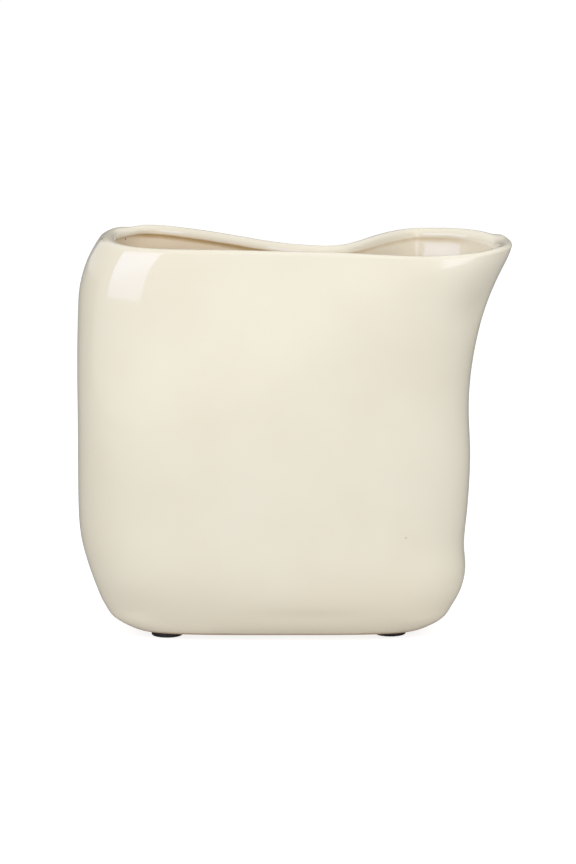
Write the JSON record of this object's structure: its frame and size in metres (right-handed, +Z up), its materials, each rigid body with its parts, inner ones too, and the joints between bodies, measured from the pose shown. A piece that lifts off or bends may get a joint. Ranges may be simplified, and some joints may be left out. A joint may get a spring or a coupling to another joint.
{
  "type": "pillow vase",
  "caption": "Hollow ceramic pillow vase with a pinched, beaded mouth drawn out into a spout at one end, standing on stick-on pads; holds water and cut stems.",
  "frame": {"origin": "on the standing surface, under the middle of the vase's overall box", "axes": "+X to the spout, +Y to the pinched back wall, +Z up out of the mouth"},
  "size_m": [0.2217, 0.0876, 0.2029],
  "materials": {
    "cream_glaze": "glossy",
    "black_rubber": "satin",
    "clear_adhesive": "matt"
  },
  "bodies": {
    "root": {"vase_body": "cream_glaze", "pad_front_left": "black_rubber", "pad_front_right": "black_rubber", "pad_back_left": "black_rubber", "pad_back_right": "black_rubber", "adhesive_front_left": "clear_adhesive", "adhesive_front_right": "clear_adhesive", "adhesive_back_left": "clear_adhesive", "adhesive_back_right": "clear_adhesive"}
  },
  "joints": []
}
